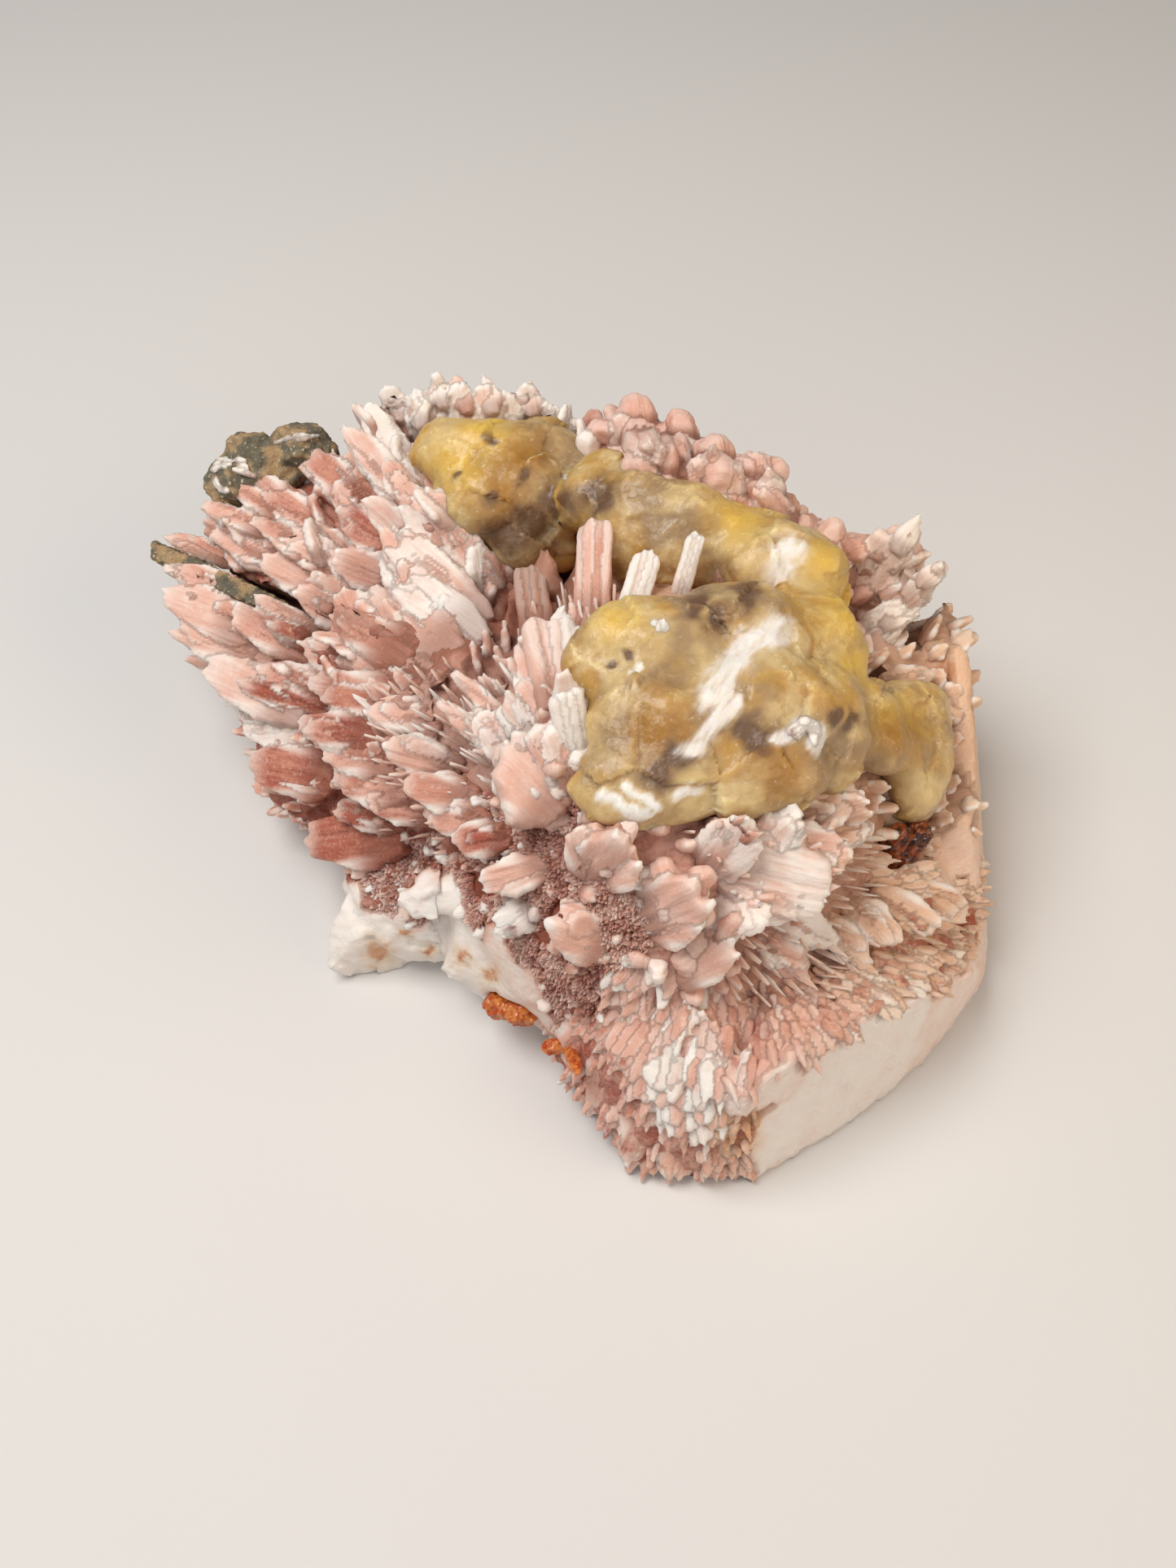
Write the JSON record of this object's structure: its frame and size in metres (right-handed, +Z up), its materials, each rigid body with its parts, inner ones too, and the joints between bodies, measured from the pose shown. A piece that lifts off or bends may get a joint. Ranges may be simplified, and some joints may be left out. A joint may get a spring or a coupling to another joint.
{
  "type": "mordenite with stilbite mineral specimen",
  "caption": "Hand-sized zeolite cluster: pink and white mordenite blade sprays with honey-yellow stilbite, a broken white wall and host rock remnants.",
  "frame": {"origin": "middle of the bounding box's bottom face, on the surface that the specimen rests on", "axes": "+Z up, -Y towards the side that shows best, with the broken white wall at +X -Y, and +X along the longest side"},
  "size_m": [0.1032, 0.0898, 0.0478],
  "materials": {
    "mordenite": "silky pink and white blades, matt to slightly translucent, white tips",
    "stilbite": "waxy translucent honey yellow with smoky patches",
    "host_rock": "dull granular brown and grey-green basalt",
    "orange_crystals": "glassy orange",
    "dark_crystals": "glassy dark red-brown"
  },
  "bodies": {
    "root": {"mordenite": "mordenite", "stilbite_main": "stilbite", "stilbite_ridge": "stilbite", "stilbite_middle": "stilbite", "stilbite_upper": "stilbite", "stilbite_right": "stilbite", "host_rock_lump": "host_rock", "host_rock_seam": "host_rock", "orange_crystals_lower": "orange_crystals", "orange_crystal_sliver": "orange_crystals", "dark_crystals_pocket": "dark_crystals"}
  },
  "joints": []
}
